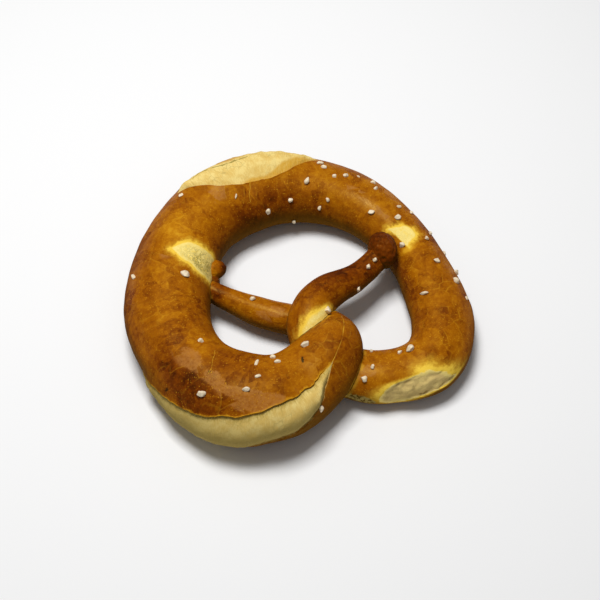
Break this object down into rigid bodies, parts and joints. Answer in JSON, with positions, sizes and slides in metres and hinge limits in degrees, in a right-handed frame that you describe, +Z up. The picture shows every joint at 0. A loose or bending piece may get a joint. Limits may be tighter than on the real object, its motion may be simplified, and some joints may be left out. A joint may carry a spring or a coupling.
{
  "type": "soft pretzel",
  "caption": "Baked soft pretzel: one rope of dough, fat in the belly and thin at the arms, twisted once and pressed on, with open splits in its crust.",
  "frame": {"origin": "centre of the bounding box at the level of the flat underside, where the pretzel rests on the baking tray", "axes": "+Z up out of the crust's top, +Y from the knot to the top of the belly, +X to the right lobe as seen from above"},
  "size_m": [0.1604, 0.1602, 0.0335],
  "materials": {
    "crust": "glossy lye-browned bread crust, mahogany to golden brown, with open pale crumb at the splits",
    "salt": "coarse off-white baked-on salt grains"
  },
  "bodies": {
    "root": {"pretzel": "crust"}
  },
  "joints": []
}
